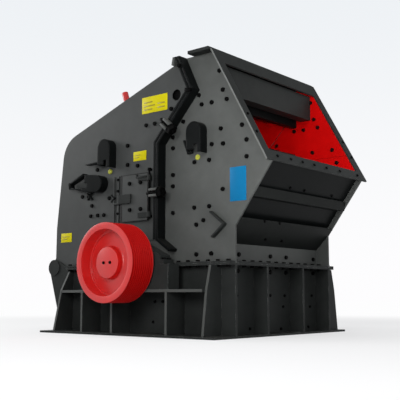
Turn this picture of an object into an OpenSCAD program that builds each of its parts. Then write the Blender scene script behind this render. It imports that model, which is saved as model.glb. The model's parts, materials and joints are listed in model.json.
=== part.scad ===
// Impact crusher, horizontal shaft, with a hinged rear housing.
// X runs from the rear to the feed side, Y across the machine, Z up from the ground.
// The belt drive is on the -Y side. All lengths are in millimetres.

/* [Rotor] */
// Place of the rotor axis along the machine
rotor_x = 40; // [30:1:50]
// Height of the rotor axis above the base
rotor_h = 16; // [10:1:24]
// Radius over the blow bars
rotor_r = 630; // [600:5:636]
// Width of the rotor
rotor_w = 1460; // [1300:10:1600]
// Gap between the ends of the rotor and the side plates
rotor_gap = 60; // [50:1:80]
// Radius of the rotor core
core_r = 330; // [250:5:370]
// Radius of the shaft
shaft_r = 90; // [70:1:100]
// Number of rotor discs
disc_count = 6; // [4:1:7]
// Thickness of a rotor disc
disc_t = 70; // [50:5:90]
// How far the blow bars stand out from the discs
bar_out = 45; // [30:1:60]
// Height of a blow bar
bar_h = 250; // [200:5:280]
// Thickness of a blow bar
bar_t = 95; // [70:5:110]

/* [Drive pulley] */
// Radius of the drive pulley
pulley_r = 374; // [340:1:390]
// Width of the drive pulley
pulley_w = 278; // [250:1:300]
// Gap between the pulley and the bearing pedestal
pulley_gap = 20; // [15:1:40]
// Number of belt grooves
groove_count = 10; // [6:1:11]
// Depth of a belt groove
groove_d = 14; // [8:1:18]
// Radial thickness of the pulley rim
rim_t = 62; // [50:1:70]
// Radius of the pulley hub
hub_r = 146; // [120:1:160]
// Depth of the recess in the face of the pulley, at the rim
recess_d = 130; // [110:2:150]
// How far the dished web rises from the rim to the hub
dish = 20; // [10:1:30]
// How far the hub lies behind the face of the pulley
hub_set = 42; // [30:1:70]
// Thickness of the pulley web
web_t = 45; // [30:1:60]
// Thickness of the hub in front of the shaft end
cap_t = 16; // [10:1:24]

/* [Casing] */
// Thickness of the side plates
plate_t = 20; // [16:1:30]
// Thickness of the cross walls and roofs
wall_t = 25; // [15:1:30]
// How far the cross walls sit inside the edges of the side plates
wall_inset = 12; // [6:1:25]
// Thickness of the wear liners
liner_t = 16; // [12:1:25]
// Height of the lower edge of the front side liners above the base
liner_h = 575; // [540:5:620]
// Height of the joint between the upper and the lower side liners
liner_joint_h = 1155; // [1100:5:1200]
// Gap at the joints between the hinged and the fixed casing
seam_gap = 5; // [5:1:8]

/* [Front casing] */
// Height of the underside of the front roof above the base
roof_h = 1982; // [1940:1:2040]
// How far the nose of the side plates stands out from the base front wall
nose_out = 158; // [140:1:180]
// Height of the nose above the base
nose_h = 331; // [300:1:360]
// How far the foot of the feed plane lies in front of the nose
feed_out = 415; // [390:1:430]
// Height of the foot of the feed plane above the base
feed_h = 883; // [860:1:910]
// How far the head of the feed plane lies behind the nose
feed_in = 203; // [180:1:220]
// How far the feed plane rises above the underside of the roof
frame_rise = 11; // [6:1:20]
// Thickness of the feed frame
frame_t = 16; // [12:1:25]
// How far the feed frame stands out from the side plates
frame_side = 85; // [70:1:95]
// Height of the upper band of the feed frame, along its slope
frame_top_band = 158; // [140:1:180]
// Height of the lower band of the feed frame, along its slope
frame_low_band = 110; // [100:1:130]
// Setback of the sloped front wall behind the edges of the side plates
slope_setback = 50; // [40:1:60]
// Height of the bolted strip at the foot of the front wall
strip_h = 167; // [140:1:180]
// Thickness of the strip
strip_t = 16; // [10:1:20]
// How far the lower ledge stands out beyond the nose, both ways
lip = 60; // [40:1:70]
// Height of the edge of the lower ledge
lip_t = 14; // [8:1:20]
// Height of the upper ledge above the base
ledge_at = 582; // [560:1:620]
// Height of the upper ledge itself
ledge_h = 90; // [70:1:110]
// How far the foot of the upper ledge stands out beyond the side plates
ledge_out = 19; // [10:1:25]
// How far its head lies inside the edges of the side plates
ledge_in = 31; // [25:1:40]
// How far the roof flange stands out from the side plates
roof_flange_w = 95; // [80:1:110]
// Thickness of the roof flange
roof_flange_t = 30; // [20:1:36]
// Distance from the seam to the roof flange, along the roof
roof_flange_x = 125; // [100:1:150]
// Thickness of the cross beam behind the feed frame
beam_t = 120; // [90:5:140]
// Height of this beam
beam_h = 258; // [220:2:280]
// Depth of this beam below the roof
beam_drop = 134; // [110:1:160]
// Distance of this beam from the seam, at its front
beam_x = 433; // [420:1:440]
// Thickness of the beam that carries the curtain
curtain_t = 60; // [40:5:80]
// Height of this beam
curtain_h = 427; // [380:1:440]
// Distance of the curtain beam from the seam, at its front
curtain_x = 253; // [240:1:270]

/* [Seam] */
// Distance from the rotor axis to the upright seam between rear and front casing
seam_x = 247; // [235:1:260]
// Height of the lower end of the upright seam above the base
seam_low_h = 236; // [225:1:250]
// Height of its upper end above the base
seam_mid_h = 1174; // [1150:1:1200]
// How far the outermost point of the seam lies in front of its upright part
seam_out = 427; // [400:1:440]
// Depth of this point below the roof
seam_drop = 338; // [320:1:360]
// How far the seam runs back from there to the roof
seam_back = 162; // [150:1:175]
// How far the seam flanges stand out from the side plates
seam_flange_w = 110; // [90:1:112]
// Thickness of each seam flange
seam_flange_t = 28; // [20:1:34]

/* [Rear casing] */
// How far the rear casing stands out behind the base rear wall
rear_over = 268; // [255:1:280]
// Height of its lower rear corner above the base
rear_low_h = 87; // [80:1:95]
// Length of the sloped edge below this corner, along the machine
rear_foot = 178; // [170:1:190]
// How far the bend of the rear edge lies in front of this corner
rear_mid_in = 4; // [0:1:20]
// Height of this bend above the base
rear_mid_h = 435; // [400:5:500]
// How far the shoulder lies in front of the lower corner
rear_top_in = 110; // [90:1:130]
// Height of the shoulder above the base, before it is rounded
rear_top_h = 1373; // [1350:1:1400]
// Radius of the rounded shoulder
shoulder_r = 280; // [200:5:320]
// Distance from the top of the seam back to the lifting holes
lift_x = 96; // [80:1:120]
// Depth of the lifting holes below the roof
lift_drop = 339; // [300:1:360]
// Radius of the lifting holes
lift_r = 55; // [40:1:60]

/* [Base] */
// Height of the base, where the casing stands on it
base_h = 665; // [640:1:700]
// Distance from the rotor axis to the outer face of the base front wall
front_reach = 962; // [930:1:1000]
// Distance from the rotor axis to the outer face of the base rear wall
rear_reach = 1060; // [1030:1:1090]
// How far the base plate stands out in front of the base
front_toe = 158; // [140:1:180]
// How far the base plate stands out behind the base
rear_toe = 140; // [130:1:160]
// Thickness of the base plate
foot_t = 20; // [15:1:25]
// Thickness of the flanges between base and casing
flange_t = 18; // [15:1:22]
// How far these flanges stand out from the side plates
flange_w = 85; // [70:1:90]
// Thickness of the ribs and shelf plates
rib_t = 26; // [16:1:30]
// How far the side ribs stand out from the side walls
rib_w = 250; // [235:1:270]
// Width of the base plate beyond the side ribs
foot_edge = 50; // [40:1:70]
// How far the shelf that carries the bearing pedestals lies below the top of the base
shelf_drop = 232; // [210:1:250]
// Distance of the inner end ribs from the middle
end_rib_y = 305; // [250:5:350]
// How far the far front corner rib stands in front of the base
far_rib_out = 70; // [40:1:100]
// Radius of the anchor bolt holes
anchor_r = 18; // [12:1:22]
// Distance of the outer side anchors from the ends of the base plate
anchor_outer = 360; // [330:1:390]
// Distance of the inner side anchors from the ends of the base plate
anchor_inner = 795; // [760:1:820]
// Distance of the side anchors from the side walls
anchor_side = 190; // [150:1:220]
// Distance of the end anchors from the ends of the base plate
anchor_end = 65; // [50:1:80]
// Distance of the end anchors from the middle
anchor_end_y = 550; // [450:5:700]

/* [Bearings] */
// Length of a bearing pedestal
pedestal_l = 1070; // [1040:2:1080]
// Gap between the casing flanges and the pedestals
pedestal_gap = 7; // [5:1:15]
// How far the pedestals lie inside the edge of the side ribs
pedestal_in = 8; // [4:1:20]
// Length of a bearing housing over its ears
bearing_l = 940; // [900:2:980]
// How far a bearing housing lies inside the faces of its pedestal
bearing_in = 5; // [3:1:15]
// Outer radius of the bearing housing drum
bearing_r = 200; // [180:1:205]
// Thickness of the ears
ear_t = 42; // [30:1:50]
// Half length of the top of a bearing cap
cap_top = 160; // [140:1:170]
// Height of the sides of a bearing cap
cap_side = 85; // [70:1:100]
// Half length of the foot of the shaft cheek
cheek_foot = 415; // [400:1:425]
// Height of the shoulder of the shaft cheek above the base
cheek_h = 121; // [110:1:135]
// Gap round the shaft where it leaves the casing
shaft_gap = 25; // [15:1:35]

/* [Rear hinge] */
// Distance of the hinge axis in front of the lower corner of the rear casing
hinge_in = 13; // [5:1:20]
// Height of the hinge axis above the base
hinge_h = 11; // [6:1:20]
// Radius of the hinge pin
pin_r = 40; // [30:1:45]
// Radius of the bracket disc
disc_r = 85; // [80:1:95]
// Radius of the eye on the side plate
eye_r = 70; // [62:1:76]
// Thickness of the bracket plate
bracket_t = 20; // [16:1:30]
// Thickness of the disc on the bracket
boss_t = 15; // [12:1:20]
// Gap between the bracket and the side plate
bracket_gap = 5; // [5:1:8]

/* [Aprons] */
// Distance of the front apron shaft in front of the rotor axis
front_pivot_x = 709; // [690:1:715]
// Height of the front apron shaft above the base
front_pivot_h = 1175; // [1160:1:1190]
// Distance of the upper rear apron shaft behind the rotor axis
upper_pivot_x = 501; // [490:1:520]
// Height of the upper rear apron shaft above the base
upper_pivot_h = 1163; // [1140:1:1180]
// How far the lower rear apron shaft lies behind the upper one
lower_pivot_x = 173; // [165:1:185]
// How far it lies below the upper one
lower_pivot_drop = 296; // [285:1:310]
// Radius of the apron shafts
apron_shaft_r = 50; // [40:1:60]
// Wall of the boss round an apron shaft
apron_boss = 20; // [15:1:25]
// Gap between the apron tips and the blow bars
apron_gap = 60; // [45:5:80]
// Thickness of the apron plates
apron_t = 60; // [50:5:70]
// Depth of the ribs on the back of an apron
apron_web = 40; // [30:5:50]
// How far an apron is bent away from the rotor
apron_bow = 25; // [15:5:35]
// Gap between the ends of an apron and the liners
apron_side = 10; // [6:1:20]
// Height of a hood
hood_h = 297; // [270:1:310]
// Width of a hood
hood_w = 176; // [165:1:190]
// How far a hood stands out
hood_d = 98; // [80:1:115]
// Thickness of a hood
hood_t = 12; // [8:1:16]
// How far the rear leg of a hood is shorter
hood_step = 33; // [10:1:50]
// How far the lower hood is turned over to the front
hood_turn = 96; // [80:1:100]
// Width of the notch in the lower edge of a hood
notch_w = 48; // [30:1:55]
// Height of this notch
notch_h = 75; // [50:1:85]
// Radius of a tie rod
tie_r = 34; // [24:1:40]
// Distance of the tie rods from the middle
tie_y = 600; // [500:5:650]
// Distance from the upper apron shaft to the tie rods, along the roof
tie_x = 71; // [50:1:100]
// How far the tie rods stand out above the roof
tie_top = 235; // [200:1:260]
// How far the collar of a tie rod stands out round it
tie_collar = 14; // [8:1:20]
// Thickness of this collar
collar_t = 28; // [20:1:36]

/* [Inspection door] */
// Distance from the rotor axis to the front edge of the door
door_x = 65; // [55:1:75]
// Width of the door
door_w = 375; // [340:1:400]
// Height of the lower edge of the door above the base
door_low_h = 443; // [430:1:455]
// Height of the door
door_h = 475; // [440:1:485]
// Thickness of the door
door_t = 20; // [14:1:24]
// How far the door overlaps the edge of its opening
door_lap = 25; // [15:1:40]
// Gap between the door and the side plate
door_gap = 5; // [5:1:8]
// Radius of the hinge rod
rod_r = 11; // [8:1:13]
// Distance of the hinge rod from the door
rod_out = 24; // [22:1:30]
// Wall of the hinge eyes
eye_wall = 9; // [6:1:12]
// Length of a hinge strap
strap_l = 150; // [120:5:200]
// Height of a hinge strap
strap_h = 50; // [40:1:60]
// Thickness of a hinge strap
strap_t = 12; // [8:1:16]
// Distance of the straps from the ends of the door
strap_in = 55; // [45:1:80]
// How far the hinge rod reaches beyond the door to its brackets
rod_over = 30; // [20:1:40]
// Height of a rod bracket
bracket_h = 30; // [20:1:40]
// Wall of a rod bracket round the rod
bracket_wall = 8; // [6:1:12]
// Width of a rail
rail_w = 20; // [12:1:24]
// Thickness of a rail
rail_t = 18; // [12:1:24]
// Distance of the near rail from the door
rail_near = 60; // [50:1:70]
// Distance of the far rail from the door
rail_far = 125; // [110:1:140]
// How far the latch reaches past the rear edge of the door
latch_out = 15; // [10:1:30]
// Length of the latch
latch_l = 165; // [140:1:190]
// Height of the latch
latch_h = 90; // [70:1:110]
// Thickness of the latch
latch_t = 22; // [16:1:26]
// Height of the latch above the lower edge of the door
latch_up = 185; // [160:1:210]

/* [Hidden] */

// Running clearance of a shaft in its bore.
fit = 0.05;
// Play under a part that seats on a slope, where rounding could make it overlap.
seat = 0.02;
// Gap between parts that move past each other.
free = 5;
round_fn = 96;

rotor_z = base_h + rotor_h;
inner_y = rotor_w / 2 + rotor_gap;
side_y = inner_y + plate_t;
liner_y = inner_y - liner_t;
flange_y = side_y + flange_w;
rib_y = side_y + rib_w;
base_half = rib_y + foot_edge;
base_front_x = rotor_x + front_reach;
base_rear_x = rotor_x - rear_reach;
foot_front_x = base_front_x + front_toe;
foot_rear_x = base_rear_x - rear_toe;
wall_top = base_h - flange_t;
shelf_z = base_h - shelf_drop;
roof_z = base_h + roof_h;

// ---- points and lines ----
function unit(v) = v / norm(v);
function left(v) = [-v.y, v.x];
function mitre(a, b) = (a + b) / (1 + a * b);
function side_normal(p, i) = left(unit(p[i + 1] - p[i]));
// A path moved sideways by d, to its left, with mitred corners.
function moved(p, d) = [for (i = [0:len(p) - 1])
    p[i] + d * (i == 0 ? side_normal(p, 0)
        : i == len(p) - 1 ? side_normal(p, i - 1)
        : mitre(side_normal(p, i - 1), side_normal(p, i)))];
function turned(p) = [for (i = [len(p) - 1:-1:0]) p[i]];
function part_of(p, a, b) = [for (i = [a:b]) p[i]];
function on_line(a, b, t) = a + (b - a) * t;
function x_at(a, b, z) = a.x + (b.x - a.x) * (z - a.y) / (b.y - a.y);
function z_at(a, b, x) = a.y + (b.y - a.y) * (x - a.x) / (b.x - a.x);
function cross2(a, b) = a.x * b.y - a.y * b.x;
function meet(p, q) = let (
    u = p[1] - p[0],
    v = q[1] - q[0])
    p[0] + u * cross2(q[0] - p[0], v) / cross2(u, v);

// The points of a rounded corner at b, between the lines from a and to c.
function corner(a, b, c, r, n) = let (
    u = unit(a - b),
    v = unit(c - b),
    half = acos(u * v) / 2,
    reach = r / tan(half),
    mid = b + unit(u + v) * r / sin(half),
    p = b + u * reach,
    q = b + v * reach,
    p_ang = atan2(p.y - mid.y, p.x - mid.x),
    turn = atan2(q.y - mid.y, q.x - mid.x) - p_ang,
    arc = turn > 180 ? turn - 360 : turn < -180 ? turn + 360 : turn)
    [for (i = [0:n]) mid + r * [cos(p_ang + arc * i / n), sin(p_ang + arc * i / n)]];

// Where the tangent from p touches a circle about c, on the side given by s.
function tangent(p, c, r, s) = let (
    away = p - c,
    ang = atan2(away.y, away.x) + s * acos(r / norm(away)))
    c + r * [cos(ang), sin(ang)];

// ---- shared solids ----
// An outline in X and Z, made solid from y0 to y1.
module plate(points, y0, y1) {
    translate([0, y1, 0])
        rotate([90, 0, 0])
            linear_extrude(y1 - y0)
                polygon(points);
}

module both_sides() {
    children();
    mirror([0, 1, 0])
        children();
}

// A round bar along Y.
module bar_y(x, z, r, y0, y1, fn = round_fn) {
    translate([x, y1, z])
        rotate([90, 0, 0])
            cylinder(h = y1 - y0, r = r, $fn = fn);
}

module block(x0, x1, y0, y1, z0, z1) {
    translate([x0, y0, z0])
        cube([x1 - x0, y1 - y0, z1 - z0]);
}

module shaft_hole(extra) {
    bar_y(rotor_x, rotor_z, shaft_r + extra, -base_half, base_half);
}

// The space between the walls of the base.
module base_inside(z0, z1) {
    block(base_rear_x + wall_t, base_front_x - wall_t, -side_y + wall_t, side_y - wall_t, z0, z1);
}

// ---- outline of the seam ----
seam_top = [rotor_x + seam_x + seam_out - seam_back, roof_z];
seam = [seam_top, [rotor_x + seam_x + seam_out, roof_z - seam_drop],
    [rotor_x + seam_x, base_h + seam_mid_h], [rotor_x + seam_x, base_h + seam_low_h]];
// The seam moved forwards by d, still cut level with the roof.
function cut_level(p) = concat([[x_at(p[0], p[1], roof_z), roof_z]], part_of(p, 1, len(p) - 1));
function seam_at(d) = cut_level(moved(seam, d));
front_seam = seam_at(seam_gap / 2);
rear_seam = seam_at(-seam_gap / 2);

// ---- outline of the shaft cheek ----
cheek_front = [rotor_x + cheek_foot, base_h + cheek_h];
cheek_rear = [rotor_x - cheek_foot, base_h + cheek_h];
cheek_top_rear = [rotor_x - seam_x, seam[3].y];
cheek = [[cheek_rear.x, base_h], cheek_rear, cheek_top_rear, seam[3], cheek_front,
    [cheek_front.x, base_h]];
rear_cheek = moved(cheek, seam_gap);

// ---- outline of the front casing ----
nose = [base_front_x + nose_out, base_h + nose_h];
feed_low = [nose.x + feed_out, base_h + feed_h];
feed_top = [nose.x - feed_in, roof_z + frame_rise];
feed_face = [feed_low, feed_top];
feed_back = moved(feed_face, frame_t);
roof_front_x = x_at(feed_back[0], feed_back[1], roof_z);
seam_foot = [front_seam[3].x, z_at(seam[3], cheek_front, front_seam[3].x)];
front_plate = [front_seam[0], front_seam[1], front_seam[2], seam_foot, cheek_front,
    [cheek_front.x, base_h], [nose.x, base_h], nose, feed_back[0], [roof_front_x, roof_z]];

// ---- outline of the rear casing ----
rear_z = base_h + seam_gap;
rear_low = [base_rear_x - rear_over, base_h + rear_low_h];
rear_toe_end = [rear_low.x + rear_foot, rear_z];
rear_mid = [rear_low.x + rear_mid_in, base_h + rear_mid_h];
rear_top = [rear_low.x + rear_top_in, base_h + rear_top_h];
shoulder = corner(rear_mid, rear_top, rear_seam[0], shoulder_r, 8);
rear_back = concat([rear_toe_end, rear_low, rear_mid], shoulder, [rear_seam[0]]);
rear_plate = concat(rear_back, part_of(rear_seam, 1, 2),
    [[rear_seam[3].x, rear_cheek[3].y], rear_cheek[2], rear_cheek[1],
    [rear_cheek[0].x, rear_z]]);
// The last point of the back that belongs to the wall; the roof starts there.
split = len(rear_back) - 2;
shell_out = moved(rear_back, -wall_inset);
shell_in = moved(rear_back, -wall_inset - wall_t);
roof_inside = [shell_in[split], shell_in[split + 1]];

// ---- base ----
module anchor(x, y) {
    translate([x, y, -1])
        cylinder(h = foot_t + 2, r = anchor_r, $fn = round_fn);
}

module base_plate() color("#3a3c3b") difference() {
    block(foot_rear_x, foot_front_x, -base_half, base_half, 0, foot_t);
    base_inside(-1, foot_t + 1);
    for (sy = [-1, 1]) {
        for (a = [anchor_outer, anchor_inner], x = [foot_rear_x + a, foot_front_x - a])
            anchor(x, sy * (side_y + anchor_side));
        for (x = [foot_rear_x + anchor_end, foot_front_x - anchor_end])
            anchor(x, sy * anchor_end_y);
    }
}

module base_walls() color("#1e201f") difference() {
    block(base_rear_x, base_front_x, -side_y, side_y, foot_t, wall_top);
    base_inside(foot_t - 1, wall_top + 1);
    shaft_hole(shaft_gap);
}

// Reach of a corner rib from the side wall at its foot, at the shelf and at its head,
// as shares of the reach of the side ribs.
front_corner = [1.02, 0.8, 0.58];
rear_corner = [0.98, 0.62, 0.16];

module corner_rib(x, share) {
    translate([x, 0, 0])
        rotate([90, 0, 90])
            linear_extrude(rib_t)
                polygon([[-side_y, foot_t], [-side_y - rib_w * share[0], foot_t],
                    [-side_y - rib_w * share[1], shelf_z],
                    [-side_y - rib_w * share[2], wall_top], [-side_y, wall_top]]);
}

// Places of the side ribs under the shelf, from the rotor axis.
mid_rib_x = [-0.585 * rear_reach, -0.184 * rear_reach, 0.535 * front_reach];

module side_ribs() color("#424443") {
    both_sides() {
        corner_rib(base_rear_x, rear_corner);
        for (x = mid_rib_x)
            block(rotor_x + x - rib_t / 2, rotor_x + x + rib_t / 2, -rib_y, -side_y,
                foot_t, shelf_z - rib_t);
    }
    corner_rib(base_front_x - rib_t, front_corner);
    mirror([0, 1, 0])
        corner_rib(base_front_x + far_rib_out, front_corner);
}

module end_ribs() color("#3c3e3d") both_sides() {
    for (y = [-side_y, -end_rib_y - rib_t / 2])
        block(base_front_x, foot_front_x, y, y + rib_t, foot_t, wall_top);
    block(foot_rear_x, base_rear_x, -end_rib_y - rib_t / 2, -end_rib_y + rib_t / 2,
        foot_t, wall_top);
}

module shelf_plates() color("#4a4c4b") both_sides()
    translate([0, 0, shelf_z - rib_t])
        linear_extrude(rib_t)
            polygon([[base_rear_x + rib_t, -side_y],
                [base_rear_x + rib_t, -side_y - rib_w * rear_corner[1]],
                [rotor_x + mid_rib_x[0], -pedestal_y], [base_front_x - rib_t, -pedestal_y],
                [base_front_x - rib_t, -side_y]]);

module base_flange() color("#343635") difference() {
    union() {
        block(base_rear_x, nose.x, -flange_y, flange_y, wall_top, base_h);
        block(base_rear_x - flange_w, base_rear_x, -side_y, side_y, wall_top, base_h);
    }
    base_inside(wall_top - 1, base_h + 1);
    shaft_hole(shaft_gap);
}

// ---- bearings ----
pedestal_y = rib_y - pedestal_in;
pedestal_near = flange_y + pedestal_gap;

module bearing_pedestals() color("#2e302f") both_sides() difference() {
    block(rotor_x - pedestal_l / 2, rotor_x + pedestal_l / 2, -pedestal_y, -pedestal_near,
        shelf_z, base_h);
    bar_y(rotor_x, rotor_z, bearing_r + 6 * fit, -pedestal_y - 1, -pedestal_near + 1);
}

bearing_half = bearing_l / 2;
cap_half = bearing_half - ear_t;
cap_z = rotor_z + 0.95 * bearing_r;

module bearing_housings() color("#303332") both_sides() difference() {
    union() {
        plate([[rotor_x - bearing_half, base_h], [rotor_x - bearing_half, base_h + ear_t],
            [rotor_x - cap_half, base_h + ear_t], [rotor_x - cap_half, base_h + cap_side],
            [rotor_x - cap_top, cap_z], [rotor_x + cap_top, cap_z],
            [rotor_x + cap_half, base_h + cap_side], [rotor_x + cap_half, base_h + ear_t],
            [rotor_x + bearing_half, base_h + ear_t], [rotor_x + bearing_half, base_h]],
            -pedestal_y + bearing_in, -pedestal_near - bearing_in);
        bar_y(rotor_x, rotor_z, bearing_r, -pedestal_y + bearing_in,
            -pedestal_near - bearing_in);
    }
    bar_y(rotor_x, rotor_z, shaft_r + fit, -pedestal_y, -pedestal_near);
}

module shaft_cheeks() color("#4b4d4c") both_sides() difference() {
    plate(cheek, -side_y, -inner_y);
    shaft_hole(shaft_gap);
}

// ---- rear hinge ----
hinge = [rear_low.x + hinge_in, base_h + hinge_h];
bracket_y = side_y + bracket_gap;
boss_y = bracket_y + bracket_t;
pin_end = boss_y + boss_t / 2;
bracket_foot = [foot_rear_x + foot_t / 2, foot_t];
bracket_back = tangent(bracket_foot, hinge, disc_r, -1);
bracket_front = [base_rear_x, wall_top];
bracket_top = tangent(bracket_front, hinge, disc_r, 1);

module hinge_brackets() color("#464847") both_sides() difference() {
    union() {
        plate([bracket_foot, bracket_back, hinge, bracket_top, bracket_front,
            [base_rear_x, foot_t]], -boss_y, -bracket_y);
        bar_y(hinge.x, hinge.y, disc_r, -boss_y - boss_t, -bracket_y);
    }
    bar_y(hinge.x, hinge.y, pin_r + fit, -pin_end, 0);
}

module hinge_pins() color("#8a8c8b") both_sides()
    bar_y(hinge.x, hinge.y, pin_r, -pin_end, -inner_y);

// The ear of the rear side plate round the pin, led into its back and its foot. Its
// corners lie inside the plate.
ear_head = on_line(rear_low, rear_mid, 0.25) + [pin_r, 0];
ear_foot = on_line(rear_toe_end, rear_low, 0.25) + [0, pin_r];

module hinge_ear() {
    plate([ear_head, tangent(ear_head, hinge, eye_r, 1), hinge,
        tangent(ear_foot, hinge, eye_r, -1), ear_foot], -side_y, -inner_y);
    bar_y(hinge.x, hinge.y, eye_r, -side_y, -inner_y);
}

// ---- front casing ----
module front_side_plates() color("#585a59") both_sides() difference() {
    plate(front_plate, -side_y, -inner_y);
    pivot_bore(front_pivot);
}

slope_line = [nose, feed_back[0]];
slope_face = moved(slope_line, slope_setback);
wall_foot = [base_front_x, base_h];
wall_bend = [base_front_x, z_at(slope_face[0], slope_face[1], base_front_x)];
wall_head = meet(slope_face, feed_back);
wall_path = [wall_foot, wall_bend, wall_head];
wall_inside = moved(wall_path, wall_t);
wall_slope = [wall_inside[1], wall_inside[2]];
wall_inner_head = meet(wall_slope, feed_back);

module front_wall() color("#232524")
    plate(concat(wall_path, [wall_inner_head, wall_inside[1], wall_inside[0]]),
        -inner_y, inner_y);

strip_top = base_h + flange_t + strip_h;

module front_strip() color("#3d3f3e")
    block(base_front_x, base_front_x + strip_t, -inner_y, inner_y, base_h + flange_t, strip_top);

// The lower ledge hangs over the strip, the upper one stands on the slope.
function on_slope(z) = [x_at(slope_face[0], slope_face[1], z), z];
function on_edge(z, out) = [x_at(nose, feed_back[0], z) + out, z];
ledge_low = base_h + ledge_at;
ledge_high = ledge_low + ledge_h;

module front_ledges() color("#2b2d2c") {
    plate([[base_front_x, strip_top], [base_front_x + strip_t, strip_top], nose + [lip, lip],
        nose + [lip, lip + lip_t], on_slope(nose.y + lip + lip_t), wall_bend],
        -inner_y, inner_y);
    plate([on_slope(ledge_low), on_edge(ledge_low, ledge_out), on_edge(ledge_high, -ledge_in),
        on_slope(ledge_high)], -inner_y, inner_y);
}

module front_flange() color("#343635") {
    both_sides()
        block(cheek_front.x, nose.x, -flange_y, -side_y, base_h, base_h + flange_t);
    block(base_front_x, nose.x, -inner_y, inner_y, base_h, base_h + flange_t);
}

roof_low = roof_z - wall_t;
roof_inner_front = [x_at(feed_back[0], feed_back[1], roof_low), roof_low];

module front_roof() color("#3a3c3b")
    plate([front_seam[0], [x_at(front_seam[0], front_seam[1], roof_low), roof_low],
        roof_inner_front, [roof_front_x, roof_z]], -inner_y, inner_y);

module roof_flange() color("#2d2f2e")
    plate([[seam_top.x + roof_flange_x, roof_z], [roof_front_x, roof_z],
        [x_at(feed_back[0], feed_back[1], roof_z + roof_flange_t), roof_z + roof_flange_t],
        [seam_top.x + roof_flange_x, roof_z + roof_flange_t]],
        -side_y - roof_flange_w, side_y + roof_flange_w);

// The frame and its window, drawn on the same slope as the edges of the side plates.
frame_seat = moved(feed_face, frame_t - seat);
window_low = frame_low_band / norm(feed_top - feed_low);
window_high = 1 - frame_top_band / norm(feed_top - feed_low);
function frame_point(t, d) = on_line(moved(feed_face, d)[0], moved(feed_face, d)[1], t);

module feed_frame() color("#383a39") difference() {
    plate(concat(feed_face, turned(frame_seat)), -side_y - frame_side, side_y + frame_side);
    plate([frame_point(window_low, -1), frame_point(window_high, -1),
        frame_point(window_high, frame_t + 1), frame_point(window_low, frame_t + 1)],
        -inner_y, inner_y);
}

// ---- lining and cross beams of the feed mouth ----
liner_low = base_h + liner_h;
liner_joint = base_h + liner_joint_h;
liner_seam = seam_at(seam_gap / 2 + free);
liner_plate = [[liner_seam[2].x, liner_low], liner_seam[2], liner_seam[1],
    [x_at(liner_seam[0], liner_seam[1], roof_low), roof_low], roof_inner_front,
    wall_inner_head, [x_at(wall_slope[0], wall_slope[1], liner_low), liner_low]];
liner_face = moved(wall_slope, liner_t);

module feed_liners() color("#a30a0a") {
    both_sides() difference() {
        plate(liner_plate, -inner_y, -liner_y);
        pivot_bore(front_pivot);
        block(liner_seam[2].x - 1, nose.x + feed_out, -side_y, -liner_y + 1,
            liner_joint - free / 2, liner_joint);
    }
    plate([wall_slope[0], wall_inner_head, meet(liner_face, feed_back), liner_face[0]],
        -liner_y + free / 2, liner_y - free / 2);
}

module feed_beam() color("#333534")
    block(seam_top.x + beam_x - beam_t, seam_top.x + beam_x, -liner_y, liner_y,
        roof_z - beam_drop - beam_h, roof_z - beam_drop);

module curtain_beam() color("#1c1e1d")
    block(seam_top.x + curtain_x - curtain_t, seam_top.x + curtain_x, -liner_y, liner_y,
        roof_low - curtain_h, roof_low);

// The seam and, after it, the front slope of the shaft cheek.
seam_run = concat(seam, [cheek_front]);

module front_seam_flange() color("#1f2121") both_sides()
    plate(concat(cut_level(moved(seam_run, seam_gap / 2)),
        turned(cut_level(moved(seam_run, seam_gap / 2 + seam_flange_t)))),
        -side_y - seam_flange_w, -side_y);

// ---- aprons ----
tip_r = rotor_r + apron_gap;
apron_y = liner_y - apron_side;
apron_ribs = 5;
apron_end = 0.65 * hood_d;
function rotor_point(ang, r) = [rotor_x + r * cos(ang), rotor_z + r * sin(ang)];
function apron_face(pivot, ang) = let (
    tip = rotor_point(ang, tip_r),
    mid = (pivot + tip) / 2 - apron_bow * left(unit(tip - pivot)))
    [pivot, mid, tip];

// A bent apron on its shaft, with its ribbed back away from the rotor. It ends
// near the rotor at the angle ang.
module apron(pivot, ang) {
    face = apron_face(pivot, ang);
    back = moved(face, -apron_t);
    rib = [back[0], back[1], back[2], moved(face, -apron_t - apron_web)[1]];
    plate(concat(face, turned(back)), -apron_y, apron_y);
    for (k = [0:apron_ribs - 1]) {
        y = on_line(-apron_y, apron_y - rib_t, k / (apron_ribs - 1));
        plate(rib, y, y + rib_t);
    }
    bar_y(pivot.x, pivot.y, apron_shaft_r + apron_boss, -apron_y, apron_y);
    bar_y(pivot.x, pivot.y, apron_shaft_r, -side_y - apron_end, side_y + apron_end);
}

module pivot_bore(pivot) {
    bar_y(pivot.x, pivot.y, apron_shaft_r + fit, -base_half, base_half);
}

front_pivot = [rotor_x + front_pivot_x, base_h + front_pivot_h];
upper_pivot = [rotor_x - upper_pivot_x, base_h + upper_pivot_h];
lower_pivot = upper_pivot - [lower_pivot_x, lower_pivot_drop];
front_apron_ang = 103;
upper_apron_ang = 128;
lower_apron_ang = 172;

module front_apron() color("#4a4442")
    apron(front_pivot, front_apron_ang);

module upper_apron() color("#4a4442")
    apron(upper_pivot, upper_apron_ang);

module lower_apron() color("#4a4442")
    apron(lower_pivot, lower_apron_ang);

// ---- hoods over the ends of the apron shafts ----
// An arch with an open foot, smaller than the hood by the amount inset.
module arch(inset) {
    r = hood_w / 2 - inset;
    translate([0, hood_h / 2 - hood_w / 2])
        circle(r = r, $fn = round_fn);
    translate([-r, -hood_h / 2 - inset])
        square([2 * r, hood_h - hood_w / 2 + inset]);
}

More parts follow.
